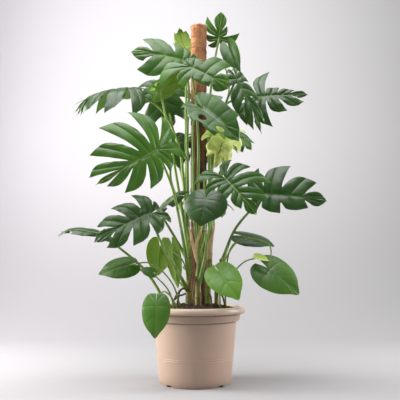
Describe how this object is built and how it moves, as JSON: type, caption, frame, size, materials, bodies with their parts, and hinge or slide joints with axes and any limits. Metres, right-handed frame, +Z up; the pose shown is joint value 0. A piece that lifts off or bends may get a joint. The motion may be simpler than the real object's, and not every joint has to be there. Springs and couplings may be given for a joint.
{
  "type": "potted monstera plant",
  "caption": "Tall split-leaf climbing houseplant tied to a coir-wrapped pole, growing in soil in a round taupe plastic tub.",
  "frame": {"origin": "centre of the tub's flat underside, on the floor", "axes": "+Z up, -Y towards the plant's front, +X to the right seen from the front"},
  "size_m": [1.0055, 0.6, 1.452],
  "materials": {
    "tub": "satin",
    "soil": "matte",
    "coir": "matte",
    "timber": "matte",
    "stem": "satin",
    "leaf_dark": "satin",
    "leaf_green": "satin",
    "leaf_bright": "satin",
    "leaf_young": "satin"
  },
  "bodies": {
    "root": {"tub": "tub", "soil": "soil", "pole_core": "timber", "coir_sleeve": "coir", "stem_left": "stem", "stem_front": "stem", "stem_right": "stem", "stem_leaning": "stem", "leaf_top_right": "leaf_green", "leaf_top_right_low": "leaf_green", "leaf_top_left_bright": "leaf_bright", "leaf_top_left": "leaf_green", "leaf_top_front": "leaf_green", "leaf_upper_left_backlit": "leaf_bright", "leaf_upper_far_left": "leaf_dark", "leaf_upper_back_left": "leaf_dark", "leaf_hero_left": "leaf_green", "leaf_centre_front": "leaf_green", "leaf_upper_right": "leaf_dark", "leaf_upper_far_right": "leaf_dark", "leaf_young": "leaf_young", "leaf_middle_right_small": "leaf_green", "leaf_centre_right": "leaf_green", "leaf_middle_far_right": "leaf_dark", "leaf_front_round": "leaf_dark", "leaf_middle_left": "leaf_dark", "leaf_left_edge_on": "leaf_dark", "leaf_low_left_back": "leaf_bright", "leaf_low_left_hanging": "leaf_green", "leaf_far_left_thin": "leaf_dark", "leaf_left_behind": "leaf_dark", "leaf_back_upper": "leaf_dark", "leaf_back_lower": "leaf_dark", "leaf_back_top": "leaf_green", "leaf_back_low": "leaf_green", "leaf_low_far_left": "leaf_green", "leaf_low_left_small": "leaf_green", "leaf_over_rim": "leaf_green", "leaf_low_right_round": "leaf_bright", "leaf_low_far_right": "leaf_green", "leaf_low_right_folded": "leaf_dark", "leaf_low_right_rolled": "leaf_young"}
  },
  "joints": []
}
